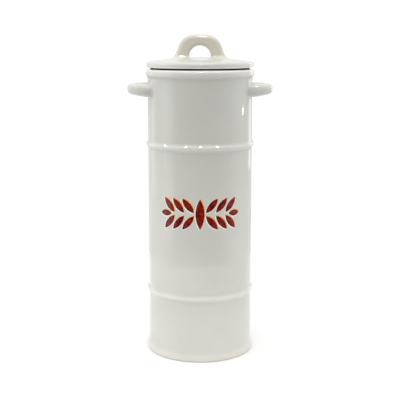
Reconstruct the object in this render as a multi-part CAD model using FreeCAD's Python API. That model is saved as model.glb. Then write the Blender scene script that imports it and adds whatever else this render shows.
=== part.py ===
import FreeCAD, Part
import math
import os

# Tall glazed stoneware canister for long pasta, with two ear handles and a lift-off lid.
# Millimetres, +Z up. The origin is the centre of the foot ring's contact plane, the ear handles
# point along +X and -X, and the front, which carries the printed motif, faces -Y.

Vector = FreeCAD.Vector
ORIGIN = Vector(0, 0, 0)
AXIS = Vector(0, 0, 1)

# Vessel: a straight wall with a foot band, two raised rings and a thickened rim.
BODY_R = 50.5
WALL = 4.5
BORE_R = BODY_R - WALL
RIM_Z = 275.5
FLOOR_Z = 8.0
FLOOR_ROUND = 7.0
BAND_PROUD = 1.75
BAND_R = BODY_R + BAND_PROUD
FOOT_CREST_Z = 3.4
FOOT_EDGE = 1.6
FOOT_IN_R = 46.8
RECESS_Z = 2.0
LOWER_RING_Z = 61.4
UPPER_RING_Z = 204.2
RIM_CREST_Z = 270.9
RIM_ROUND = 3.4
MOUTH_ROUND = 0.7

# Lid: a shallow dome whose locating collar drops into the mouth. A bead keeps the seal on.
LID_R = 51.5
LID_TOP_Z = 287.0
DOME_R = 278.0
LID_WALL = 5.4
LID_GAP = 1.4
LID_UNDER_Z = RIM_Z + LID_GAP
SHOULDER_ROUND = 2.6
SKIRT_ROUND = 2.0
COLLAR_R = 41.6
COLLAR_IN_R = 37.6
COLLAR_Z = 264.5
BEAD_R = 43.4
BEAD_H = 2.2
EDGE_ROUND = 1.0
CEILING_ROUND = 2.5

# Lid loop: a flat strap bent into an arch that stands across the lid.
LOOP_TOP_Z = 308.3
CROWN_R = 114.0
CROWN_CORNER_R = 16.0
LEG_SPLAY = math.radians(20.8)
LEG_HALF = 24.4
LOOP_HOLE_R = 10.3
LOOP_HOLE_Z = 287.6
LOOP_DEPTH = 15.0
LOOP_EDGE = 4.0
LOOP_HOLE_EDGE = 2.8
LOOP_ROOT = 2.6

# Ear handles: a bar bent into a D that lies flat, deeper at its roots than at its outer end.
EAR_TOP_Z = 262.0
EAR_REACH = 69.8
EAR_START_X = 40.0
EAR_ARM_Y = 19.3
EAR_BAR_W = 10.0
EAR_BAR_H = 10.3
EAR_ROOT_W = 11.4
EAR_ROOT_H = 12.4
EAR_DEEPENING = 3
EAR_SQUARENESS = 0.76
EAR_STATIONS = 17
EAR_FILLET = 1.6

# Seal: a soft ring round the collar, with lips that face the bore and a flange under the lid.
SEAL_PLAY = 0.05
SEAL_CORE_R = 44.0
SEAL_LIP_R = BORE_R - 0.25
SEAL_FLANGE_R = 47.8
SEAL_FACE_PLAY = 0.1
SEAL_LIPS = 3
SEAL_FIRST_LIP = 0.2
SEAL_LIP_H = 1.3
SEAL_LIP_RISE = 0.5
SEAL_LIP_NOSE = 0.25

# Printed motif: two ears of wheat spread from an upright grain, each grain with an offset shade.
PRINT_T = 0.12
MOTIF_Z = 143.0
GRAIN_ROWS = 3
GRAIN_PITCH = 9.5
GRAIN_FIRST = 5.6
END_GRAIN_START = 28.0
GRAIN_STEM_GAP = 1.3
GRAIN_SIZE = (17.5, 6.2)
GRAIN_TILT = math.radians(50)
END_GRAIN_SIZE = (12.4, 6.0)
MID_GRAIN_SIZE = (29.0, 8.6)
SHADE_SHIFT = (0.85, 0.95)
GRAIN_REACH = 4.0


# How near an edge's middle lies to both pieces where they meet, and how flat a flat edge's box is.
JOINT_TOLERANCE = 1e-3
FLATNESS = 1e-6


def polar(centre, radius, angle):
    """The point at that radius and angle round centre, in a plane whose axes are x and z."""
    return (centre[0] + radius * math.cos(angle), centre[1] + radius * math.sin(angle))


def between(a, b, share):
    return (a[0] + (b[0] - a[0]) * share, a[1] + (b[1] - a[1]) * share)


def mirrored(p):
    return (-p[0], p[1])


class Outline:
    """A chain of lines and arcs in the x-z plane, which is also the r-z plane of a turned part."""

    def __init__(self, x, z):
        self.first = (x, z)
        self.at = (x, z)
        self.edges = []

    @staticmethod
    def point(at):
        return Vector(at[0], 0, at[1])

    def line(self, x, z):
        self.edges.append(Part.makeLine(self.point(self.at), self.point((x, z))))
        self.at = (x, z)

    def via(self, middle, end):
        """An arc through middle to end."""
        arc = Part.Arc(self.point(self.at), self.point(middle), self.point(end))
        self.edges.append(arc.toShape())
        self.at = end

    def turn(self, centre, end):
        """The shorter arc about centre to end."""
        half = between(self.at, end, 0.5)
        reach = math.dist(centre, half)
        self.via(between(centre, half, math.dist(centre, end) / reach), end)

    def face(self):
        if math.dist(self.at, self.first) > 1e-6:
            self.line(*self.first)
        return Part.Face(Part.Wire(self.edges))

    def turned(self):
        return self.face().revolve(ORIGIN, AXIS, 360)


class Swell:
    """How a raised band leaves the straight wall: a hollow cove, then a round crest."""

    def __init__(self, crest_r, cove_r):
        self.crest = (BAND_R - crest_r, 0)
        across = BODY_R + cove_r - self.crest[0]
        self.rise = math.sqrt((crest_r + cove_r) ** 2 - across**2)
        self.cove = (BODY_R + cove_r, self.rise)
        self.join = between(self.crest, self.cove, crest_r / (crest_r + cove_r))

    @staticmethod
    def placed(point, z, side):
        return (point[0], z + side * point[1])

    def climb(self, outline, z):
        """From the wall below up to the crest at height z."""
        outline.line(BODY_R, z - self.rise)
        outline.turn(self.placed(self.cove, z, -1), self.placed(self.join, z, -1))
        outline.turn(self.placed(self.crest, z, -1), (BAND_R, z))

    def fall(self, outline, z):
        """From the crest at height z up to the wall above it."""
        outline.turn(self.placed(self.crest, z, 1), self.placed(self.join, z, 1))
        outline.turn(self.placed(self.cove, z, 1), (BODY_R, z + self.rise))


RING = Swell(crest_r=3.2, cove_r=4.5)
FOOT = Swell(crest_r=7.0, cove_r=9.0)
RIM = Swell(crest_r=3.0, cove_r=5.5)


def make_vessel():
    o = Outline(0, RECESS_Z)
    o.line(FOOT_IN_R - RECESS_Z, RECESS_Z)
    o.turn((FOOT_IN_R - RECESS_Z, 0), (FOOT_IN_R, 0))
    o.line(BAND_R - FOOT_EDGE, 0)
    o.turn((BAND_R - FOOT_EDGE, FOOT_EDGE), (BAND_R, FOOT_EDGE))
    o.line(BAND_R, FOOT_CREST_Z)
    FOOT.fall(o, FOOT_CREST_Z)
    for ring_z in (LOWER_RING_Z, UPPER_RING_Z):
        RING.climb(o, ring_z)
        RING.fall(o, ring_z)
    RIM.climb(o, RIM_CREST_Z)
    o.line(BAND_R, RIM_Z - RIM_ROUND)
    o.turn((BAND_R - RIM_ROUND, RIM_Z - RIM_ROUND), (BAND_R - RIM_ROUND, RIM_Z))
    o.line(BORE_R + MOUTH_ROUND, RIM_Z)
    o.turn((BORE_R + MOUTH_ROUND, RIM_Z - MOUTH_ROUND), (BORE_R, RIM_Z - MOUTH_ROUND))
    o.line(BORE_R, FLOOR_Z + FLOOR_ROUND)
    o.turn((BORE_R - FLOOR_ROUND, FLOOR_Z + FLOOR_ROUND), (BORE_R - FLOOR_ROUND, FLOOR_Z))
    o.line(0, FLOOR_Z)
    return o.turned()


def dome_z(r, top):
    """Height of the lid's spherical dome, or of its ceiling, at distance r from the axis."""
    return top - DOME_R + math.sqrt(DOME_R**2 - r**2)


def make_lid():
    top_r = LID_R - SHOULDER_ROUND
    top_z = dome_z(top_r, LID_TOP_Z)
    half_r = top_r / 2
    shoulder = (top_r, top_z - SHOULDER_ROUND)
    skirt = (LID_R - SKIRT_ROUND, LID_UNDER_Z + SKIRT_ROUND)
    bead_z = COLLAR_Z + BEAD_H
    low_round_z = COLLAR_Z + EDGE_ROUND
    ceiling_z = LID_TOP_Z - LID_WALL
    corner_r = COLLAR_IN_R - CEILING_ROUND
    corner = (corner_r, dome_z(corner_r, ceiling_z) - CEILING_ROUND)
    o = Outline(0, LID_TOP_Z)
    o.via((half_r, dome_z(half_r, LID_TOP_Z)), (top_r, top_z))
    o.turn(shoulder, (LID_R, shoulder[1]))
    o.line(LID_R, skirt[1])
    o.turn(skirt, (skirt[0], LID_UNDER_Z))
    o.line(COLLAR_R, LID_UNDER_Z)
    o.line(COLLAR_R, bead_z)
    o.line(BEAD_R, bead_z)
    o.line(BEAD_R, low_round_z)
    o.turn((BEAD_R - EDGE_ROUND, low_round_z), (BEAD_R - EDGE_ROUND, COLLAR_Z))
    o.line(COLLAR_IN_R + EDGE_ROUND, COLLAR_Z)
    o.turn((COLLAR_IN_R + EDGE_ROUND, low_round_z), (COLLAR_IN_R, low_round_z))
    o.line(COLLAR_IN_R, corner[1])
    o.turn(corner, (corner_r, corner[1] + CEILING_ROUND))
    o.via((corner_r / 2, dome_z(corner_r / 2, ceiling_z)), (0, ceiling_z))
    return o.turned()


def make_seal():
    inner_r = COLLAR_R + SEAL_PLAY
    low_z = COLLAR_Z + BEAD_H + SEAL_FACE_PLAY
    flange_low_z = RIM_Z + SEAL_FACE_PLAY
    flange_top_z = LID_UNDER_Z - SEAL_FACE_PLAY
    nose_r = (flange_top_z - flange_low_z) / 2
    nose = (SEAL_FLANGE_R - nose_r, flange_low_z + nose_r)
    lip_root_r = SEAL_LIP_R - SEAL_LIP_NOSE
    pitch = (RIM_Z - low_z) / SEAL_LIPS
    o = Outline(inner_r, low_z)
    o.line(SEAL_CORE_R, low_z)
    for i in range(SEAL_LIPS):
        root_z = low_z + pitch * (i + SEAL_FIRST_LIP)
        lip_z = root_z + SEAL_LIP_RISE
        o.line(SEAL_CORE_R, root_z)
        o.line(lip_root_r, lip_z)
        o.via((SEAL_LIP_R, lip_z + SEAL_LIP_H / 2), (lip_root_r, lip_z + SEAL_LIP_H))
        o.line(SEAL_CORE_R, lip_z + SEAL_LIP_H)
    o.line(SEAL_CORE_R, flange_low_z)
    o.line(nose[0], flange_low_z)
    o.via((SEAL_FLANGE_R, nose[1]), (nose[0], flange_top_z))
    o.line(inner_r, flange_top_z)
    return o.turned()


def luted(piece, base, radius):
    """The piece trimmed to the base it is stuck on, with a fillet all round each joint."""
    trimmed = piece.cut(base)
    whole = base.fuse(trimmed)
    joints = []
    for edge in whole.Edges:
        middle = Part.Vertex(edge.valueAt((edge.FirstParameter + edge.LastParameter) / 2))
        gaps = [middle.distToShape(shape.Shells[0])[0] for shape in (base, trimmed)]
        if max(gaps) < JOINT_TOLERANCE:
            joints.append(edge)
    return whole.makeFillet(radius, joints).cut(base)


def rims(strap, nearest, furthest):
    """The edges round the strap's two flat faces that reach that far from its middle, at most."""
    found = []
    for edge in strap.Edges:
        box = edge.BoundBox
        reach = max(box.XMax, -box.XMin)
        on_face = box.YLength < FLATNESS and box.ZLength > FLATNESS
        if on_face and nearest + FLATNESS < reach < furthest + FLATNESS:
            found.append(edge)
    return found


def make_lid_loop(lid):
    crown = (0, LOOP_TOP_Z - CROWN_R)
    normal = (math.cos(LEG_SPLAY), math.sin(LEG_SPLAY))
    leg_offset = LEG_HALF * normal[0] + LID_TOP_Z * normal[1] - CROWN_CORNER_R
    swing = math.acos((leg_offset - crown[1] * normal[1]) / (CROWN_R - CROWN_CORNER_R))
    corner = polar(crown, CROWN_R - CROWN_CORNER_R, LEG_SPLAY + swing)
    crown_end = polar(crown, CROWN_R, LEG_SPLAY + swing)
    leg_top = polar(corner, CROWN_CORNER_R, LEG_SPLAY)
    base_z = LID_TOP_Z - LID_WALL / 2
    base_x = leg_top[0] + (leg_top[1] - base_z) * math.tan(LEG_SPLAY)
    o = Outline(-base_x, base_z)
    o.line(*mirrored(leg_top))
    o.turn(mirrored(corner), mirrored(crown_end))
    o.via((0, LOOP_TOP_Z), crown_end)
    o.turn(corner, leg_top)
    o.line(base_x, base_z)
    o.line(LOOP_HOLE_R, base_z)
    o.line(LOOP_HOLE_R, LOOP_HOLE_Z)
    o.via((0, LOOP_HOLE_Z + LOOP_HOLE_R), (-LOOP_HOLE_R, LOOP_HOLE_Z))
    o.line(-LOOP_HOLE_R, base_z)
    strap = o.face().extrude(Vector(0, LOOP_DEPTH, 0))
    strap.translate(Vector(0, -LOOP_DEPTH / 2, 0))
    strap = strap.makeFillet(LOOP_EDGE, rims(strap, LOOP_HOLE_R, math.inf))
    strap = strap.makeFillet(LOOP_HOLE_EDGE, rims(strap, 0, LOOP_HOLE_R))
    return luted(strap, lid, LOOP_ROOT)


def ear_station(t):
    """Centre, width and height of the ear's section at t, which runs from -pi/2 to pi/2."""
    path_x = EAR_REACH - EAR_BAR_W / 2 - EAR_START_X
    share = abs(math.sin(t))
    x = EAR_START_X + path_x * abs(math.cos(t)) ** EAR_SQUARENESS
    y = math.copysign(EAR_ARM_Y * share**EAR_SQUARENESS, t)
    deepening = share**EAR_DEEPENING
    wide = EAR_BAR_W + (EAR_ROOT_W - EAR_BAR_W) * deepening
    high = EAR_BAR_H + (EAR_ROOT_H - EAR_BAR_H) * deepening
    return Vector(x, y, EAR_TOP_Z - high / 2), wide, high


def make_right_ear():
    """A D of elliptical sections, from wall to wall, on the +X side."""
    last = EAR_STATIONS - 1
    stations = [ear_station(math.pi * (i / last - 0.5)) for i in range(EAR_STATIONS)]
    sections = []
    for i, (centre, wide, high) in enumerate(stations):
        along = stations[min(i + 1, last)][0] - stations[max(i - 1, 0)][0]
        if i in (0, last):
            along = Vector(1 if i == 0 else -1, 0, 0)
        along.z = 0
        along.normalize()
        half_wide = along.cross(AXIS) * (wide / 2)
        half_high = AXIS * (high / 2)
        longer, shorter = (half_wide, half_high) if wide >= high else (half_high, half_wide)
        ellipse = Part.Ellipse(centre + longer, centre + shorter, centre)
        sections.append(Part.Wire(ellipse.toShape()))
    bar = Part.makeLoft(sections, True, False)
    return luted(bar, Part.makeCylinder(BODY_R, RIM_Z), EAR_FILLET)


class Grain:
    """A pointed grain printed on the wall: base is its inner tip, as (arc length, height)."""

    def __init__(self, base, size, tilt):
        length, width = size
        middle = polar(base, length / 2, tilt)
        heading = middle[0] / BODY_R
        self.outward = Vector(math.sin(heading), -math.cos(heading), 0)
        self.sideways = Vector(math.cos(heading), math.sin(heading), 0)
        inner = self.outward * (BODY_R - GRAIN_REACH) + AXIS * middle[1]
        along = self.sideways * math.cos(tilt) + AXIS * math.sin(tilt)
        across = self.outward.cross(along) * (width / 2)
        outer_tip = inner + along * (length / 2)
        inner_tip = inner - along * (length / 2)
        one_side = Part.Arc(outer_tip, inner + across, inner_tip).toShape()
        other_side = Part.Arc(inner_tip, inner - across, outer_tip).toShape()
        self.face = Part.Face(Part.Wire([one_side, other_side]))

    def column(self, face):
        """A face of the grain's own plane, drawn out through the wall's surface."""
        return face.extrude(self.outward * (2 * GRAIN_REACH))

    def shade_face(self):
        """What the grain leaves showing of the same shape moved to one side and up."""
        moved = self.face.translated(self.sideways * SHADE_SHIFT[0] + AXIS * SHADE_SHIFT[1])
        return moved.cut(self.face)


def make_grains():
    """An upright grain in the middle, and an ear of paired grains with an end grain each side."""
    grains = [Grain((0, MOTIF_Z - MID_GRAIN_SIZE[0] / 2), MID_GRAIN_SIZE, math.pi / 2)]
    for side in (0, math.pi):
        way = math.cos(side)
        for row in range(GRAIN_ROWS):
            start = way * (GRAIN_FIRST + row * GRAIN_PITCH)
            for lean in (1, -1):
                base = (start, MOTIF_Z + lean * GRAIN_STEM_GAP)
                grains.append(Grain(base, GRAIN_SIZE, side + lean * way * GRAIN_TILT))
        grains.append(Grain((way * END_GRAIN_START, MOTIF_Z), END_GRAIN_SIZE, side))
    return grains


def make_prints():
    """The motif's two colours: the print, and its shade where no print covers it."""
    high = MID_GRAIN_SIZE[0] * 2
    low = Vector(0, 0, MOTIF_Z - high / 2)
    skin = Part.makeCylinder(BODY_R + PRINT_T, high, low).cut(Part.makeCylinder(BODY_R, high, low))
    grains = make_grains()
    columns = [grain.column(grain.face) for grain in grains]
    shades = []
    for i, grain in enumerate(grains):
        others = columns[:i] + columns[i + 1 :]
        shades.append(skin.common(grain.column(grain.shade_face()).cut(others)))
    return Part.Compound([skin.common(column) for column in columns]), Part.Compound(shades)


def write_node(name, shape):
    shape.exportStep("parts/" + name + ".step")
    box = shape.optimalBoundingBox()
    print(name, shape.isValid(), len(shape.Solids), round(shape.Volume, 1), box)


if __name__ == "__main__":
    os.makedirs("parts", exist_ok=True)
    lid_shape = make_lid()
    right_ear = make_right_ear()
    motif_print, motif_shade = make_prints()
    write_node("vessel", make_vessel())
    write_node("right_ear_handle", right_ear)
    write_node("left_ear_handle", right_ear.mirror(ORIGIN, Vector(1, 0, 0)))
    write_node("lid", lid_shape)
    write_node("lid_loop_handle", make_lid_loop(lid_shape))
    write_node("seal_ring", make_seal())
    write_node("motif_print", motif_print)
    write_node("motif_shade", motif_shade)
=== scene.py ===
import math

import bmesh
import bpy
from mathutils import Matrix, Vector, noise


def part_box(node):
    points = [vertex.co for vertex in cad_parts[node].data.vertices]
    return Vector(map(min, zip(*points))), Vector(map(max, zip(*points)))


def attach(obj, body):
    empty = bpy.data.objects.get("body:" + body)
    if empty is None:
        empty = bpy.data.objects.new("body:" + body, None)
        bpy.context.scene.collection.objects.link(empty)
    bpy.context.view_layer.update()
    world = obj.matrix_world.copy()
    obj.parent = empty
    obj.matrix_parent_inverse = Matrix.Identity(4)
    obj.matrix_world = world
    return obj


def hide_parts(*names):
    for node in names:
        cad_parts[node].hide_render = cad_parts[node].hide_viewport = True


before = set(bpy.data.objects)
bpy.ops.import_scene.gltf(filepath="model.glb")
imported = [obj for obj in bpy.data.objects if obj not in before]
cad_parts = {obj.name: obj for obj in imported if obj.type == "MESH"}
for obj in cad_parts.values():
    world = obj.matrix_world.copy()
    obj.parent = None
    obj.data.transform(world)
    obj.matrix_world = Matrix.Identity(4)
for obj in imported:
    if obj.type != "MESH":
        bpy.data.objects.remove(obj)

# Tall glazed stoneware canister for long pasta. Metres, +Z up, the front faces -Y.
# Every piece is drawn round the CAD frame: its places and main sizes come from the nodes' boxes.

MM = 0.001
UP = Vector((0, 0, 1))
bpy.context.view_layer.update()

VESSEL_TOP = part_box("vessel")[1]
LID_LOW, LID_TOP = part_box("lid")
SEAL_LOW, SEAL_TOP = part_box("seal_ring")
LOOP_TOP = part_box("lid_loop_handle")[1]
EAR_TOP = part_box("right_ear_handle")[1]
PRINT_LOW, PRINT_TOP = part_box("motif_print")

# Vessel
BAND_R = VESSEL_TOP.x
BODY_R = BAND_R - 1.75 * MM
BORE_R = BODY_R - 4.5 * MM
RIM_Z = VESSEL_TOP.z
FLOOR_Z = 8 * MM
FLOOR_ROUND = 7 * MM
FOOT_IN_R = 46.8 * MM
FOOT_CREST_Z = 3.4 * MM
FOOT_EDGE = 1.6 * MM
RECESS_Z = 2.0 * MM
RING_ZS = (61.4 * MM, 204.2 * MM)
RIM_CREST_Z = RIM_Z - 4.6 * MM
RIM_ROUND = 3.4 * MM
MOUTH_ROUND = 0.7 * MM
WARP = 0.10 * MM

# Lid
LID_R = LID_TOP.x
LID_TOP_Z = LID_TOP.z
COLLAR_Z = LID_LOW.z
LID_UNDER_Z = RIM_Z + 1.4 * MM
DOME_R = 278 * MM
LID_WALL = 5.4 * MM
SHOULDER_ROUND = 2.6 * MM
SKIRT_ROUND = 2.0 * MM
COLLAR_R = 41.6 * MM
COLLAR_IN_R = 37.6 * MM
BEAD_R = 43.4 * MM
BEAD_H = 2.2 * MM
EDGE_ROUND = 1.0 * MM
CEILING_ROUND = 2.5 * MM

# How finely the meshes are sampled.
TURN_STEPS = 288
ARC_STEP = math.radians(7)
LINE_STEP = 3.0 * MM
BAR_STEPS = 72
BAR_SECTION = 72
FILLET_STEPS = 9
ROOT_HALVINGS = 40


# ---------------------------------------------------------------- mesh helpers


def new_piece(name, vertices, faces, attributes=None):
    """A smooth mesh object. attributes maps a name to one number for each vertex."""
    mesh = bpy.data.meshes.new(name)
    mesh.from_pydata([tuple(v) for v in vertices], [], faces)
    for face in mesh.polygons:
        face.use_smooth = True
    for key, values in (attributes or {}).items():
        layer = mesh.attributes.new(key, "FLOAT", "POINT")
        layer.data.foreach_set("value", values)
    mesh.validate()
    solid = bmesh.new()
    solid.from_mesh(mesh)
    bmesh.ops.recalc_face_normals(solid, faces=solid.faces)
    solid.to_mesh(mesh)
    solid.free()
    piece = bpy.data.objects.new(name, mesh)
    bpy.context.scene.collection.objects.link(piece)
    return piece


def finish_piece(piece, body, nodes, material):
    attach(piece, body)
    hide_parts(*nodes)
    piece.data.materials.append(material)
    return piece


def polar(centre, radius, angle):
    return (centre[0] + radius * math.cos(angle), centre[1] + radius * math.sin(angle))


def between(a, b, share):
    return tuple(p + (q - p) * share for p, q in zip(a, b))


def smoothstep(low, high, x):
    """0 at low and 1 at high, which may be the lesser of the two."""
    t = min(max((x - low) / (high - low), 0), 1)
    return t * t * (3 - 2 * t)


class Profile:
    """A chain of sampled lines and arcs in the r-z plane of a turned piece."""

    def __init__(self, r, z):
        self.points = [(r, z)]

    def line(self, r, z):
        start = self.points[-1]
        steps = max(1, math.ceil(math.dist(start, (r, z)) / LINE_STEP))
        self.points += [between(start, (r, z), i / steps) for i in range(1, steps + 1)]

    def turn(self, centre, end):
        """The shorter arc about centre to end."""
        start = self.points[-1]
        radius = math.dist(centre, end)
        first = math.atan2(start[1] - centre[1], start[0] - centre[0])
        swing = math.atan2(end[1] - centre[1], end[0] - centre[0]) - first
        swing = (swing + math.pi) % math.tau - math.pi
        steps = max(2, math.ceil(abs(swing) / ARC_STEP))
        steps = max(steps, math.ceil(abs(swing) * radius / LINE_STEP))
        self.points += [polar(centre, radius, first + swing * i / steps) for i in range(1, steps)]
        self.points.append(end)

    def round_to(self, corner, radius, towards):
        """A line to near corner, then a round of that radius, heading towards the next point."""
        start = self.points[-1]
        back = Vector((start[0] - corner[0], start[1] - corner[1])).normalized()
        ahead = Vector((towards[0] - corner[0], towards[1] - corner[1])).normalized()
        half = back.angle(ahead) / 2
        reach = radius / math.tan(half)
        centre = Vector(corner) + (back + ahead).normalized() * (radius / math.sin(half))
        self.line(*(Vector(corner) + back * reach))
        self.turn(tuple(centre), tuple(Vector(corner) + ahead * reach))


def turned(name, points, warp, attributes):
    """Turns a profile about Z. It starts and ends on the axis, or else closes on itself.
    warp(r, z, angle) gives the radius there, and attributes maps a name to a function of (r, z)."""
    on_axis = points[0][0] < 1e-9
    rings = points[1:-1] if on_axis else points
    vertices = []
    faces = []
    sources = []
    for r, z in rings:
        for i in range(TURN_STEPS):
            angle = math.tau * i / TURN_STEPS
            radius = warp(r, z, angle)
            vertices.append((radius * math.cos(angle), radius * math.sin(angle), z))
            sources.append((r, z))
    pairs = len(rings) - 1 if on_axis else len(rings)
    for k in range(pairs):
        a = k * TURN_STEPS
        b = (k + 1) % len(rings) * TURN_STEPS
        for i in range(TURN_STEPS):
            j = (i + 1) % TURN_STEPS
            faces.append((a + i, a + j, b + j, b + i))
    if on_axis:
        for end, ring, order in ((points[0], 0, -1), (points[-1], pairs * TURN_STEPS, 1)):
            tip = len(vertices)
            vertices.append((0, 0, end[1]))
            sources.append(end)
            for i in range(TURN_STEPS):
                pair = (ring + i, ring + (i + 1) % TURN_STEPS)[::order]
                faces.append((*pair, tip))
    values = {key: [f(r, z) for r, z in sources] for key, f in attributes.items()}
    return new_piece(name, vertices, faces, values)


# ---------------------------------------------------------------- vessel


class Swell:
    """How a raised band leaves the straight wall: a hollow cove, then a round crest."""

    def __init__(self, crest_r, cove_r):
        self.crest = (BAND_R - crest_r, 0)
        across = BODY_R + cove_r - self.crest[0]
        self.rise = math.sqrt((crest_r + cove_r) ** 2 - across**2)
        self.cove = (BODY_R + cove_r, self.rise)
        self.join = between(self.crest, self.cove, crest_r / (crest_r + cove_r))

    @staticmethod
    def placed(point, z, side):
        return (point[0], z + side * point[1])

    def climb(self, profile, z):
        profile.line(BODY_R, z - self.rise)
        profile.turn(self.placed(self.cove, z, -1), self.placed(self.join, z, -1))
        profile.turn(self.placed(self.crest, z, -1), (BAND_R, z))

    def fall(self, profile, z):
        profile.turn(self.placed(self.crest, z, 1), self.placed(self.join, z, 1))
        profile.turn(self.placed(self.cove, z, 1), (BODY_R, z + self.rise))


RING = Swell(crest_r=3.2 * MM, cove_r=4.5 * MM)
FOOT = Swell(crest_r=7.0 * MM, cove_r=9.0 * MM)
RIM = Swell(crest_r=3.0 * MM, cove_r=5.5 * MM)


def warped(r, z, angle):
    """The radius of fired clay: never more than the drawn one, and a little less here and there."""
    around = Vector((math.cos(angle), math.sin(angle), 0)) * 1.3
    drift = noise.noise(around + UP * (z * 14)) * 0.5 + 0.5
    return r - WARP * min(max(drift, 0), 1) * smoothstep(0, BODY_R, r)


def vessel_profile():
    p = Profile(0, RECESS_Z)
    p.line(FOOT_IN_R - RECESS_Z, RECESS_Z)
    p.turn((FOOT_IN_R - RECESS_Z, 0), (FOOT_IN_R, 0))
    p.line(BAND_R - FOOT_EDGE, 0)
    p.turn((BAND_R - FOOT_EDGE, FOOT_EDGE), (BAND_R, FOOT_EDGE))
    p.line(BAND_R, FOOT_CREST_Z)
    FOOT.fall(p, FOOT_CREST_Z)
    for ring_z in RING_ZS:
        RING.climb(p, ring_z)
        RING.fall(p, ring_z)
    RIM.climb(p, RIM_CREST_Z)
    p.line(BAND_R, RIM_Z - RIM_ROUND)
    p.turn((BAND_R - RIM_ROUND, RIM_Z - RIM_ROUND), (BAND_R - RIM_ROUND, RIM_Z))
    p.line(BORE_R + MOUTH_ROUND, RIM_Z)
    p.turn((BORE_R + MOUTH_ROUND, RIM_Z - MOUTH_ROUND), (BORE_R, RIM_Z - MOUTH_ROUND))
    p.line(BORE_R, FLOOR_Z + FLOOR_ROUND)
    p.turn((BORE_R - FLOOR_ROUND, FLOOR_Z + FLOOR_ROUND), (BORE_R - FLOOR_ROUND, FLOOR_Z))
    p.line(0, FLOOR_Z)
    return p.points


def foot_bareness(r, z):
    """1 where the foot stands bare of glaze, 0 where it is glazed."""
    return 1 - smoothstep(0.25 * MM, 0.75 * MM, z)


def crest_thinness_and_highlight(r, z):
    """How much paler the vessel's crests and edges are made: partly thinner glaze drawn back there, partly a
    painted highlight where light catches the crests.
    """
    return smoothstep(BODY_R + 0.6 * MM, BAND_R, r)


def foot_warmth(r, z):
    """Where the clay warms the glaze, which runs thinly there: round the foot's crest."""
    return 0.45 * smoothstep(9.5 * MM, 4.0 * MM, z) * smoothstep(BODY_R, BODY_R + 1.2 * MM, r)


def rim_painted_highlight(r, z):
    """A painted highlight: near-white on the round at the top of the rim, where light from above catches it.
    """
    return smoothstep(RIM_Z - 1.9 * MM, RIM_Z - 1.0 * MM, z) * smoothstep(BORE_R, BORE_R + 1 * MM, r)


def make_vessel(material):
    attributes = {
        "bare": foot_bareness,
        "thin_glaze_and_highlight": crest_thinness_and_highlight,
        "warm": foot_warmth,
        "painted_highlight": rim_painted_highlight,
    }
    piece = turned("vessel_glazed", vessel_profile(), warped, attributes)
    return finish_piece(piece, "canister", ["vessel"], material)


# ---------------------------------------------------------------- lid


def dome_z(r, top=LID_TOP_Z):
    return top - DOME_R + math.sqrt(DOME_R**2 - r**2)


def lid_profile():
    top_r = LID_R - SHOULDER_ROUND
    shoulder = (top_r, dome_z(top_r) - SHOULDER_ROUND)
    skirt = (LID_R - SKIRT_ROUND, LID_UNDER_Z + SKIRT_ROUND)
    bead_z = COLLAR_Z + BEAD_H
    low_round_z = COLLAR_Z + EDGE_ROUND
    ceiling_z = LID_TOP_Z - LID_WALL
    corner_r = COLLAR_IN_R - CEILING_ROUND
    corner = (corner_r, dome_z(corner_r, ceiling_z) - CEILING_ROUND)
    small = 0.4 * MM
    p = Profile(0, LID_TOP_Z)
    p.turn((0, LID_TOP_Z - DOME_R), (top_r, dome_z(top_r)))
    p.turn(shoulder, (LID_R, shoulder[1]))
    p.line(LID_R, skirt[1])
    p.turn(skirt, (skirt[0], LID_UNDER_Z))
    p.round_to((COLLAR_R, LID_UNDER_Z), small, (COLLAR_R, bead_z))
    p.round_to((COLLAR_R, bead_z), small, (BEAD_R, bead_z))
    p.round_to((BEAD_R, bead_z), small, (BEAD_R, low_round_z))
    p.line(BEAD_R, low_round_z)
    p.turn((BEAD_R - EDGE_ROUND, low_round_z), (BEAD_R - EDGE_ROUND, COLLAR_Z))
    p.line(COLLAR_IN_R + EDGE_ROUND, COLLAR_Z)
    p.turn((COLLAR_IN_R + EDGE_ROUND, low_round_z), (COLLAR_IN_R, low_round_z))
    p.line(COLLAR_IN_R, corner[1])
    p.turn(corner, (corner_r, corner[1] + CEILING_ROUND))
    p.turn((0, ceiling_z - DOME_R), (0, ceiling_z))
    return p.points


def collar_bareness(r, z):
    return 1 - smoothstep(COLLAR_Z + 0.25 * MM, COLLAR_Z + 0.75 * MM, z)


# Paler towards the lid's outer edge: partly thinner glaze, partly a painted highlight on the edge's round.
def lid_edge_thinness_and_highlight(r, z):
    return smoothstep(LID_R - 1.2 * MM, LID_R, r)


# A painted highlight: near-white on the round under the lid's edge, where it catches light from below.
def skirt_painted_highlight(r, z):
    low = smoothstep(LID_UNDER_Z + 1.6 * MM, LID_UNDER_Z + 0.8 * MM, z)
    return low * smoothstep(BODY_R - 3 * MM, BODY_R - 2 * MM, r)


def make_lid(material):
    attributes = {"bare": collar_bareness, "thin_glaze_and_highlight": lid_edge_thinness_and_highlight, "painted_highlight": skirt_painted_highlight}
    piece = turned("lid_glazed", lid_profile(), lambda r, z, angle: r, attributes)
    return finish_piece(piece, "lid", ["lid"], material)


# ---------------------------------------------------------------- handles


class Wall:
    """The vessel's outer wall, as a base that a handle is stuck on."""

    def height(self, p):
        r = math.hypot(p.x, p.y)
        return r - warped(BODY_R, p.z, math.atan2(p.y, p.x))

    def normal(self, p):
        return Vector((p.x, p.y, 0)).normalized()


class Dome:
    """The lid's top, as a base that a handle is stuck on."""

    centre = Vector((0, 0, LID_TOP_Z - DOME_R))

    def height(self, p):
        return (p - self.centre).length - DOME_R

    def normal(self, p):
        return (p - self.centre).normalized()


def root_place(base, surface, angle, height, low, high):
    """The place along a handle, between low (in the base) and high, where it is that high."""
    for _ in range(ROOT_HALVINGS):
        middle = (low + high) / 2
        if base.height(surface(middle, angle)) < height:
            low = middle
        else:
            high = middle
    return (low + high) / 2


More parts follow.
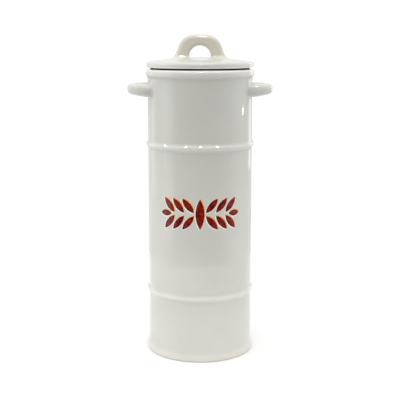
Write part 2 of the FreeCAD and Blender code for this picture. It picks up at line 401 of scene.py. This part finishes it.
def luted_bar(name, base, surface, spine, fillet, buried, warmth):
    """A handle whose two ends flow into base through a fillet.
    surface(place, angle) is a point of the plain bar, spine(place) is its middle line, and place
    runs from 0 to 1 with both ends inside the base. fillet(angle) is the fillet's radius.
    warmth(angle) says how warm the glaze is there."""
    angles = [math.tau * i / BAR_SECTION for i in range(BAR_SECTION)]

    def root_rings(inside):
        """Rings of one root, from the base's surface outwards, and where they end."""
        rings = [[] for _ in range(FILLET_STEPS + 1)]
        ends = []
        for angle in angles:
            size = fillet(angle)
            for k in range(FILLET_STEPS + 1):
                swing = math.pi / 2 * (1 - k / FILLET_STEPS)
                height = size * (1 - math.sin(swing))
                spread = size * (1 - math.cos(swing))
                place = root_place(base, surface, angle, height, inside, 0.5)
                point = surface(place, angle)
                normal = base.normal(point)
                outward = point - spine(place)
                outward -= normal * outward.dot(normal)
                moved = point + outward.normalized() * spread
                moved += base.normal(moved) * (height - base.height(moved))
                rings[k].append(moved)
            ends.append(place)
        sunk = [p - base.normal(p) * buried for p in rings[0]]
        return [sunk] + rings, ends

    first, starts = root_rings(0)
    last, stops = root_rings(1)
    rings = first
    for k in range(1, BAR_STEPS):
        share = k / BAR_STEPS
        spans = zip(angles, starts, stops)
        rings.append([surface(a + (b - a) * share, angle) for angle, a, b in spans])
    rings += last[::-1]
    vertices = [p for ring in rings for p in ring]
    faces = []
    for k in range(len(rings) - 1):
        for i in range(BAR_SECTION):
            j = (i + 1) % BAR_SECTION
            a = k * BAR_SECTION
            b = a + BAR_SECTION
            faces.append((a + i, b + i, b + j, a + j))
    for ring, order in ((0, 1), (len(rings) - 1, -1)):
        around = range(ring * BAR_SECTION, (ring + 1) * BAR_SECTION)
        tip = len(vertices)
        vertices.append(sum((vertices[i] for i in around), Vector()) / BAR_SECTION)
        for i in range(BAR_SECTION):
            pair = (around[i], around[(i + 1) % BAR_SECTION])[::order]
            faces.append((*pair, tip))
    warm = [warmth(angle) for angle in angles] * len(rings) + [0.0, 0.0]
    return new_piece(name, vertices, faces, {"warm": warm})


def superellipse(angle, power):
    """A point of a squarish round outline whose half width and height are 1."""
    c = math.cos(angle)
    s = math.sin(angle)
    return (
        math.copysign(abs(c) ** (2 / power), c),
        math.copysign(abs(s) ** (2 / power), s),
    )


EAR_PATH_START_X = 40 * MM
EAR_ARM_Y = 19.3 * MM
EAR_BAR = (10.0 * MM, 10.3 * MM)
EAR_ROOT = (11.4 * MM, 12.4 * MM)
EAR_FLAT_TOP_Z = EAR_TOP.z - 1.6 * MM
EAR_SQUARENESS = 0.76


def ear_spine(place):
    t = math.pi * (place - 0.5)
    share = abs(math.sin(t))
    path_x = EAR_TOP.x - EAR_BAR[0] / 2 - EAR_PATH_START_X
    x = EAR_PATH_START_X + path_x * abs(math.cos(t)) ** EAR_SQUARENESS
    y = math.copysign(EAR_ARM_Y * share**EAR_SQUARENESS, t)
    high = EAR_BAR[1] + (EAR_ROOT[1] - EAR_BAR[1]) * share**3
    return Vector((x, y, EAR_FLAT_TOP_Z - high / 2))


def ear_surface(place, angle):
    step = 1e-3
    place = min(max(place, step), 1 - step)
    along = ear_spine(place + step) - ear_spine(place - step)
    along.z = 0
    across = along.normalized().cross(UP)
    share = abs(math.sin(math.pi * (place - 0.5))) ** 3
    wide = EAR_BAR[0] + (EAR_ROOT[0] - EAR_BAR[0]) * share
    high = EAR_BAR[1] + (EAR_ROOT[1] - EAR_BAR[1]) * share
    u, v = superellipse(angle, 2.35)
    return ear_spine(place) + across * (u * wide / 2) + UP * (v * high / 2)


def make_ear(side, material):
    """The ear on the +X side, or on the -X side when side is -1."""
    name = "right_ear" if side > 0 else "left_ear"
    turn = Vector((side, 1, 1))

    def spine(place):
        return ear_spine(place) * turn

    def surface(place, angle):
        return ear_surface(place, angle) * turn

    def fillet(angle):
        return (1.9 - 0.5 * math.sin(angle)) * MM

    piece = luted_bar(name + "_glazed", Wall(), surface, spine, fillet, 1.0 * MM, lambda angle: 0.0)
    return finish_piece(piece, "canister", [name + "_handle"], material)


CROWN_R = 114 * MM
CROWN_CORNER_R = 16 * MM
LEG_SPLAY = math.radians(20.8)
LEG_HALF = 24.4 * MM
LOOP_HOLE_R = 10.3 * MM
LOOP_HOLE_Z = LID_TOP_Z + 0.6 * MM
LOOP_DEPTH = 15 * MM
LOOP_EDGE = 4.0 * MM
LOOP_HOLE_EDGE = 2.8 * MM
LOOP_SINK = 4 * MM


def along(points, share):
    """The point at that share of a chain's length."""
    lengths = [math.dist(a, b) for a, b in zip(points, points[1:])]
    left = share * sum(lengths)
    for a, b, length in zip(points, points[1:], lengths):
        if left <= length:
            return between(a, b, left / length)
        left -= length
    return points[-1]


def loop_outlines():
    """The arch's outer outline and its hole's outline, each from left foot to right foot."""
    crown = (0, LOOP_TOP.z - CROWN_R)
    normal = (math.cos(LEG_SPLAY), math.sin(LEG_SPLAY))
    leg_offset = LEG_HALF * normal[0] + LID_TOP_Z * normal[1] - CROWN_CORNER_R
    swing = math.acos((leg_offset - crown[1] * normal[1]) / (CROWN_R - CROWN_CORNER_R))
    corner = polar(crown, CROWN_R - CROWN_CORNER_R, LEG_SPLAY + swing)
    leg_top = polar(corner, CROWN_CORNER_R, LEG_SPLAY)
    base_z = LID_TOP_Z - LOOP_SINK
    base_x = leg_top[0] + (leg_top[1] - base_z) * math.tan(LEG_SPLAY)
    outer = Profile(base_x, base_z)
    outer.line(*leg_top)
    outer.turn(corner, polar(crown, CROWN_R, LEG_SPLAY + swing))
    outer.turn(crown, (0, LOOP_TOP.z))
    hole = Profile(LOOP_HOLE_R, base_z)
    hole.line(LOOP_HOLE_R, LOOP_HOLE_Z)
    hole.turn((0, LOOP_HOLE_Z), (0, LOOP_HOLE_Z + LOOP_HOLE_R))
    return [
        [(-x, z) for x, z in half.points] + half.points[-2::-1] for half in (outer, hole)
    ]


def strap_section(angle, half_thick, half_depth):
    """A point of the strap's section, as distances outwards from its middle and towards its side.
    Flats and rounds take turns as the angle goes round."""
    quarter = abs(math.remainder(angle, math.pi)) / (math.pi / 2)
    outside = math.cos(angle) >= 0
    edge = LOOP_EDGE if outside else LOOP_HOLE_EDGE
    flat = 0.28
    swing = math.pi / 2 * min(max((quarter - flat) / (1 - 2 * flat), 0), 1)
    out = (half_thick - edge) * min((1 - quarter) / flat, 1) + edge * math.cos(swing)
    side = (half_depth - edge) * min(quarter / flat, 1) + edge * math.sin(swing)
    return math.copysign(out, math.cos(angle)), math.copysign(side, math.sin(angle))


def make_loop(material):
    outer, hole = loop_outlines()

    def ends(place):
        return along(outer, place), along(hole, place)

    def spine(place):
        o, h = ends(place)
        return Vector(((o[0] + h[0]) / 2, 0, (o[1] + h[1]) / 2))

    def surface(place, angle):
        o, h = ends(place)
        across = Vector((o[0] - h[0], 0, o[1] - h[1]))
        out, side = strap_section(angle, across.length / 2, LOOP_DEPTH / 2)
        return spine(place) + across.normalized() * out + Vector((0, side, 0))

    def fillet(angle):
        return (2.6 + 1.6 * math.cos(angle)) * MM

    def warmth(angle):
        return 0.30 + 0.65 * math.sin(angle) ** 2

    piece = luted_bar("lid_loop_glazed", Dome(), surface, spine, fillet, 1.0 * MM, warmth)
    return finish_piece(piece, "lid", ["lid_loop_handle"], material)


# ---------------------------------------------------------------- seal

SEAL_FLANGE_R = SEAL_TOP.x
SEAL_IN_R = COLLAR_R + 0.05 * MM
SEAL_CORE_R = 44.0 * MM
SEAL_LIP_R = BORE_R - 0.25 * MM
SEAL_FACE_PLAY = 0.1 * MM
SEAL_LIPS = 3
SEAL_LIP_H = 1.3 * MM
SEAL_LIP_RISE = 0.5 * MM


def seal_profile():
    flange_low_z = RIM_Z + SEAL_FACE_PLAY
    nose_r = (SEAL_TOP.z - flange_low_z) / 2
    nose = (SEAL_FLANGE_R - nose_r, flange_low_z + nose_r)
    pitch = (RIM_Z - SEAL_LOW.z) / SEAL_LIPS
    small = 0.25 * MM
    lip_nose = SEAL_LIP_H / 2
    p = Profile(SEAL_IN_R + small, SEAL_LOW.z)
    p.round_to((SEAL_CORE_R, SEAL_LOW.z), small, (SEAL_CORE_R, SEAL_TOP.z))
    for i in range(SEAL_LIPS):
        root_z = SEAL_LOW.z + pitch * (i + 0.2)
        lip_z = root_z + SEAL_LIP_RISE
        p.round_to((SEAL_CORE_R, root_z), small, (SEAL_LIP_R, lip_z))
        p.line(SEAL_LIP_R - lip_nose, lip_z)
        p.turn((SEAL_LIP_R - lip_nose, lip_z + lip_nose), (SEAL_LIP_R, lip_z + lip_nose))
        p.turn((SEAL_LIP_R - lip_nose, lip_z + lip_nose), (SEAL_LIP_R - lip_nose, lip_z + 2 * lip_nose))
        p.round_to((SEAL_CORE_R, lip_z + 2 * lip_nose), small, (SEAL_CORE_R, SEAL_TOP.z))
    p.round_to((SEAL_CORE_R, flange_low_z), small, (SEAL_FLANGE_R, flange_low_z))
    p.line(nose[0], flange_low_z)
    p.turn(nose, (SEAL_FLANGE_R, nose[1]))
    p.turn(nose, (nose[0], SEAL_TOP.z))
    p.round_to((SEAL_IN_R, SEAL_TOP.z), small, (SEAL_IN_R, SEAL_LOW.z))
    p.line(SEAL_IN_R, SEAL_LOW.z + small)
    p.turn((SEAL_IN_R + small, SEAL_LOW.z + small), (SEAL_IN_R + small, SEAL_LOW.z))
    return p.points[:-1]


def make_seal(material):
    piece = turned("seal_soft", seal_profile(), lambda r, z, angle: r, {})
    return finish_piece(piece, "seal", ["seal_ring"], material)


# ---------------------------------------------------------------- printed motif

MOTIF_Z = (PRINT_LOW.z + PRINT_TOP.z) / 2
GRAIN_ROWS = 3
GRAIN_PITCH = 9.5 * MM
GRAIN_FIRST = 5.6 * MM
GRAIN_STEM_GAP = 1.3 * MM
GRAIN_TILT = math.radians(50)
GRAIN = (17.5 * MM, 6.2 * MM)
END_GRAIN = (12.4 * MM, 6.0 * MM)
END_GRAIN_START = 28.0 * MM
MID_GRAIN = (29.0 * MM, 8.6 * MM)
GRAIN_LENGTHS = 24
GRAIN_WIDTHS = 10
PRINT_SUNK = 0.20 * MM


def grains():
    """The inner tip, size and tilt of every grain, on the wall unrolled as (arc length, height)."""
    yield (0, MOTIF_Z - MID_GRAIN[0] / 2), MID_GRAIN, math.pi / 2
    for side in (0, math.pi):
        way = math.cos(side)
        for row in range(GRAIN_ROWS):
            start = way * (GRAIN_FIRST + row * GRAIN_PITCH)
            for lean in (1, -1):
                tilt = side + lean * way * GRAIN_TILT
                yield (start, MOTIF_Z + lean * GRAIN_STEM_GAP), GRAIN, tilt
        yield (way * END_GRAIN_START, MOTIF_Z), END_GRAIN, side


def on_wall(across, up, proud):
    angle = across / BODY_R - math.pi / 2
    radius = warped(BODY_R, up, angle) + proud
    return Vector((radius * math.cos(angle), radius * math.sin(angle), up))


def make_print(name, shift, proud, grow, nodes, material):
    """All the grains as raised enamel a fraction of a millimetre thick, moved by shift and each grown a
    little wider.
    """
    vertices = []
    faces = []
    edge = []
    for base, (length, width), tilt in grains():
        length += 2 * grow
        half = width / 2 + grow
        bow = (length**2 / 4 + half**2) / (2 * half)
        middle = polar(base, (length - 2 * grow) / 2, tilt)
        middle = (middle[0] + shift[0], middle[1] + shift[1])
        first = len(vertices)
        across_steps = [j / GRAIN_WIDTHS * 2 - 1 for j in range(GRAIN_WIDTHS + 1)]
        section = [(j, 1) for j in across_steps] + [(j, -1) for j in across_steps[::-1]]
        for k in range(1, GRAIN_LENGTHS):
            x = -math.cos(math.pi * k / GRAIN_LENGTHS) * length / 2
            here = math.sqrt(bow**2 - x**2) - (bow - half)
            for j, face in section:
                y = here * math.sin(j * math.pi / 2)
                inset = min(here - abs(y), length / 2 - abs(x))
                rise = proud * smoothstep(-0.05 * MM, 0.25 * MM, inset)
                u = middle[0] + x * math.cos(tilt) - y * math.sin(tilt)
                v = middle[1] + x * math.sin(tilt) + y * math.cos(tilt)
                vertices.append(on_wall(u, v, rise if face > 0 else -PRINT_SUNK))
                edge.append(1 - smoothstep(0, 0.9 * MM, inset))
        loop = len(section)
        for k in range(GRAIN_LENGTHS - 2):
            for i in range(loop):
                j = (i + 1) % loop
                a = first + k * loop
                faces.append((a + i, a + loop + i, a + loop + j, a + j))
        for end, start, order in ((-1, first, 1), (1, first + (GRAIN_LENGTHS - 2) * loop, -1)):
            tip = polar(middle, end * length / 2, tilt)
            vertices.append(on_wall(*tip, -PRINT_SUNK / 2))
            edge.append(1.0)
            for i in range(loop):
                pair = (start + i, start + (i + 1) % loop)[::order]
                faces.append((*pair, len(vertices) - 1))
    piece = new_piece(name, vertices, faces, {"edge": edge})
    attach(piece, "canister")
    if nodes:
        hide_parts(*nodes)
    piece.data.materials.append(material)
    return piece


# ---------------------------------------------------------------- materials


def new_material(name):
    material = bpy.data.materials.new(name)
    material.use_nodes = True
    tree = material.node_tree
    return material, tree, tree.nodes["Principled BSDF"]


def add(tree, kind, inputs=None, **settings):
    """A node with its settings, and its inputs given as values or as sockets to link from."""
    node = tree.nodes.new("ShaderNode" + kind)
    for key, value in settings.items():
        setattr(node, key, value)
    for key, value in (inputs or {}).items():
        if isinstance(value, bpy.types.NodeSocket):
            tree.links.new(value, node.inputs[key])
        else:
            node.inputs[key].default_value = value
    return node


def object_noise(tree, scale, detail=3.0, roughness=0.5):
    where = add(tree, "TexCoord").outputs["Object"]
    inputs = {"Vector": where, "Scale": scale, "Detail": detail, "Roughness": roughness}
    return add(tree, "TexNoise", inputs).outputs["Fac"]


def mapped(tree, value, low, high, out_low=0.0, out_high=1.0):
    inputs = {"Value": value, "From Min": low, "From Max": high, "To Min": out_low, "To Max": out_high}
    return add(tree, "MapRange", inputs, interpolation_type="SMOOTHSTEP").outputs["Result"]


def mixed(tree, share, a, b):
    """Colour a turned into b by share. Colours may be sockets."""
    node = add(tree, "Mix", data_type="RGBA")
    for socket, value in ((node.inputs[0], share), (node.inputs[6], a), (node.inputs[7], b)):
        if isinstance(value, bpy.types.NodeSocket):
            tree.links.new(value, socket)
        else:
            socket.default_value = value
    return node.outputs[2]


def scaled(tree, a, b):
    """a times b."""
    return add(tree, "Math", {0: a, 1: b}, operation="MULTIPLY").outputs[0]


def vertex_value(tree, name):
    return add(tree, "Attribute", attribute_name=name).outputs["Fac"]


def make_glaze():
    """Glossy off-white glaze: faint clouds, a few iron specks, and bare clay at the feet."""
    material, tree, shader = new_material("glaze")
    clouds = mapped(tree, object_noise(tree, 22, 4), 0.35, 0.68)
    colour = mixed(tree, clouds, (0.648, 0.651, 0.596, 1), (0.674, 0.672, 0.622, 1))
    pools = mapped(tree, object_noise(tree, 95, 3), 0.52, 0.75, 0, 0.35)
    colour = mixed(tree, pools, colour, (0.69, 0.685, 0.62, 1))
    # Paler on crests and edges: partly thinner glaze, partly a painted highlight where light catches them.
    colour = mixed(tree, scaled(tree, vertex_value(tree, "thin_glaze_and_highlight"), 0.5), colour, (0.84, 0.825, 0.77, 1))
    patchy = mapped(tree, object_noise(tree, 160, 4, 0.6), 0.3, 0.65, 0.75, 1.0)
    warm = scaled(tree, vertex_value(tree, "warm"), patchy)
    colour = mixed(tree, warm, colour, (0.700, 0.655, 0.560, 1))
    # Painted highlight: near-white on the rim's top round and on the round under the lid's edge.
    colour = mixed(tree, vertex_value(tree, "painted_highlight"), colour, (0.93, 0.93, 0.90, 1))
    where = add(tree, "TexCoord").outputs["Object"]
    cells = add(tree, "TexVoronoi", {"Vector": where, "Scale": 260.0}).outputs
    dot = mapped(tree, cells["Distance"], 0.11, 0.05)
    chosen = mapped(tree, add(tree, "SeparateColor", {"Color": cells["Color"]}).outputs[0], 0.965, 0.975)
    specks = scaled(tree, scaled(tree, dot, chosen), 0.4)
    colour = mixed(tree, specks, colour, (0.30, 0.21, 0.13, 1))
    bare = vertex_value(tree, "bare")
    grit = object_noise(tree, 1500, 5, 0.7)
    clay = mixed(tree, grit, (0.60, 0.55, 0.49, 1), (0.76, 0.71, 0.64, 1))
    tree.links.new(mixed(tree, bare, colour, clay), shader.inputs["Base Color"])
    gloss = mapped(tree, object_noise(tree, 70, 5), 0.35, 0.7, 0.03, 0.06)
    rough = add(tree, "Mix", {0: bare, 2: gloss, 3: 0.85}, data_type="FLOAT").outputs[0]
    tree.links.new(rough, shader.inputs["Roughness"])
    shader.inputs["IOR"].default_value = 1.52
    ripple = add(tree, "Bump", {"Strength": 0.15, "Distance": 0.03 * MM, "Height": object_noise(tree, 90, 2)})
    grain_inputs = {
        "Strength": scaled(tree, bare, 0.8),
        "Distance": 0.15 * MM,
        "Height": grit,
        "Normal": ripple.outputs[0],
    }
    tree.links.new(add(tree, "Bump", grain_inputs).outputs[0], shader.inputs["Normal"])
    return material


def make_rubber():
    material, tree, shader = new_material("seal_rubber")
    dust = mapped(tree, object_noise(tree, 160, 4), 0.45, 0.75)
    colour = mixed(tree, dust, (0.004, 0.0035, 0.003, 1), (0.010, 0.009, 0.007, 1))
    tree.links.new(colour, shader.inputs["Base Color"])
    rough = mapped(tree, object_noise(tree, 300, 3), 0.3, 0.7, 0.5, 0.7)
    tree.links.new(rough, shader.inputs["Roughness"])
    shader.inputs["IOR"].default_value = 1.25
    bump = {"Strength": 0.4, "Distance": 0.03 * MM, "Height": object_noise(tree, 1400, 3)}
    tree.links.new(add(tree, "Bump", bump).outputs[0], shader.inputs["Normal"])
    return material


def make_enamel(name, light, dark, rim):
    """A fired print: two mottled tones, and a darker or lighter rim where the colour ran out."""
    material, tree, shader = new_material(name)
    mottle = mapped(tree, object_noise(tree, 420, 4, 0.65), 0.36, 0.62)
    colour = mixed(tree, mottle, light, dark)
    ragged = mapped(tree, object_noise(tree, 1100, 3), 0.25, 0.75, 0.55, 1.0)
    colour = mixed(tree, scaled(tree, vertex_value(tree, "edge"), ragged), colour, rim)
    tree.links.new(colour, shader.inputs["Base Color"])
    rough = mapped(tree, object_noise(tree, 500, 3), 0.3, 0.7, 0.16, 0.28)
    tree.links.new(rough, shader.inputs["Roughness"])
    shader.inputs["IOR"].default_value = 1.38
    bump = {"Strength": 0.3, "Distance": 0.02 * MM, "Height": object_noise(tree, 1300, 3)}
    tree.links.new(add(tree, "Bump", bump).outputs[0], shader.inputs["Normal"])
    return material


# ---------------------------------------------------------------- stage, light and camera

FLOOR_R = 0.40
EYE = Vector((0, -0.830, 0.3005))

# Small lights that the glaze mirrors: lamps on the upper ring's slope, a window on the wall.
# A lamp is given by how far across the ring it is seen, and its power in watts.
LAMPS = ((-32.9 * MM, 2.4), (-13.5 * MM, 0.9), (0.6 * MM, 2.6), (16.1 * MM, 3.0))
LAMP_SIZE = (0.04, 0.20)
LAMP_Z = 1.1
LAMP_SEEN_Z = RING_ZS[1] + 1.8 * MM
LAMP_TILT = math.radians(34)
WINDOW_POWER = 0.04
WINDOW_SIZE = (0.05, 0.011)
WINDOW_Z = 0.16
WINDOW_ACROSS = 40 * MM
WINDOW_SEEN_Z = 238 * MM


def make_floor():
    """A round white table top."""
    corners = [polar((0, 0), FLOOR_R, math.tau * i / TURN_STEPS) + (0,) for i in range(TURN_STEPS)]
    mesh = bpy.data.meshes.new("floor")
    mesh.from_pydata(corners, [], [tuple(range(TURN_STEPS))])
    floor = bpy.data.objects.new("floor", mesh)
    bpy.context.scene.collection.objects.link(floor)
    material, _, shader = new_material("floor")
    shader.inputs["Base Color"].default_value = (0.92, 0.92, 0.92, 1)
    shader.inputs["Roughness"].default_value = 0.9
    mesh.materials.append(material)


def softbox(name, place, aim, size, power, colour=(1, 1, 1)):
    light = bpy.data.lights.new(name, "AREA")
    light.shape = "RECTANGLE"
    light.size = size[0]
    light.size_y = size[1]
    light.energy = power
    light.color = colour
    lamp = bpy.data.objects.new(name, light)
    lamp.location = place
    lamp.visible_camera = False
    lamp.rotation_euler = (Vector(aim) - Vector(place)).to_track_quat("-Z", "Y").to_euler()
    bpy.context.scene.collection.objects.link(lamp)
    return lamp


def glint(name, place, size, power):
    """A small bright light that shows only as a reflection in the glaze."""
    softbox(name, place, (0, 0, 0.2), size, power).visible_diffuse = False


def mirrored_place(across, radius, z, tilt, height):
    """Where a light at that height stands for the camera to see it mirrored on the vessel.

    The spot on the glaze is that far across and has that radius, and it faces up by the tilt.
    """
    turn = math.asin(across / radius)
    outward = Vector((math.sin(turn), -math.cos(turn), 0))
    spot = outward * radius + Vector((0, 0, z))
    normal = outward * math.cos(tilt) + Vector((0, 0, math.sin(tilt)))
    view = (EYE - spot).normalized()
    ray = 2 * normal.dot(view) * normal - view
    return spot + ray * ((height - z) / ray.z)


def make_world():
    """A white backdrop, brightest overhead, that sheds less light from the front and none from below it."""
    world = bpy.data.worlds.new("studio")
    world.use_nodes = True
    bpy.context.scene.world = world
    tree = world.node_tree
    background = tree.nodes["Background"]
    where = add(tree, "TexCoord").outputs["Generated"]
    _, depth, height = add(tree, "SeparateXYZ", {"Vector": where}).outputs
    front = mapped(tree, height, -0.1, 0.3, 0.0, 0.64)
    around = mapped(tree, depth, -0.2, 0.7, 1.14, 0.88)
    behind = mixed(tree, mapped(tree, height, 0.35, 0.95), around, (1.22, 1.22, 1.22, 1))
    light = mixed(tree, mapped(tree, depth, -0.9, 0.2), front, behind)
    seen = add(tree, "LightPath").outputs["Is Camera Ray"]
    tree.links.new(mixed(tree, seen, light, (1.05, 1.05, 1.05, 1)), background.inputs["Color"])
    background.inputs["Strength"].default_value = 1.0


def make_camera():
    camera = bpy.data.cameras.new("camera")
    camera.sensor_width = 36
    camera.lens = 858 / 400 * 36
    camera.shift_y = -0.05
    camera.clip_start = 0.01
    eye = bpy.data.objects.new("camera", camera)
    eye.location = EYE
    eye.rotation_euler = (math.radians(90 - 9.1), 0, 0)
    bpy.context.scene.collection.objects.link(eye)
    bpy.context.scene.camera = eye


def make_lights():
    """Soft boxes in front, on the left and behind, and small lamps that glint."""
    softbox("high_box", (0, -0.45, 1.45), (0, 0, 0.2), (1.2, 0.4), 4.9)
    softbox("front_box", (0, -1.1, 1.0), (0, 0, 0.2), (1.2, 0.4), 1.8)
    softbox("left_box", (-1.0, -0.32, 0.35), (0, 0, 0.17), (0.5, 1.0), 1.05)
    softbox("back_box", (0.77, 0.92, 0.35), (0, 0, 0.2), (0.35, 0.7), 0.75)
    softbox("side_box", (-0.95, 0.60, 0.35), (0, 0, 0.2), (0.35, 0.8), 0.40)
    for across, power in LAMPS:
        glint("lamp", mirrored_place(across, BAND_R, LAMP_SEEN_Z, LAMP_TILT, LAMP_Z), LAMP_SIZE, power)
    window = mirrored_place(WINDOW_ACROSS, BODY_R, WINDOW_SEEN_Z, 0, WINDOW_Z)
    glint("window", window, WINDOW_SIZE, WINDOW_POWER)


bpy.context.scene.view_settings.view_transform = "Standard"
make_world()
make_floor()
make_camera()
make_lights()
glaze = make_glaze()
red = make_enamel("print_red", (0.34, 0.018, 0.010, 1), (0.085, 0.002, 0.001, 1), (0.060, 0.002, 0.002, 1))
ochre = make_enamel("print_ochre", (0.95, 0.50, 0.20, 1), (0.88, 0.38, 0.11, 1), (0.96, 0.66, 0.38, 1))
white = make_enamel("print_white", (0.95, 0.95, 0.92, 1), (0.93, 0.93, 0.90, 1), (0.95, 0.95, 0.92, 1))
make_vessel(glaze)
make_lid(glaze)
make_ear(1, glaze)
make_ear(-1, glaze)
make_loop(glaze)
make_seal(make_rubber())
make_print("motif_white_edge", (-0.45 * MM, -0.45 * MM), 0.03 * MM, 0.40 * MM, [], white)
make_print("motif_ochre_shade", (0.85 * MM, 0.95 * MM), 0.06 * MM, 0, ["motif_shade"], ochre)
make_print("motif_red_grains", (0, 0), 0.11 * MM, 0, ["motif_print"], red)
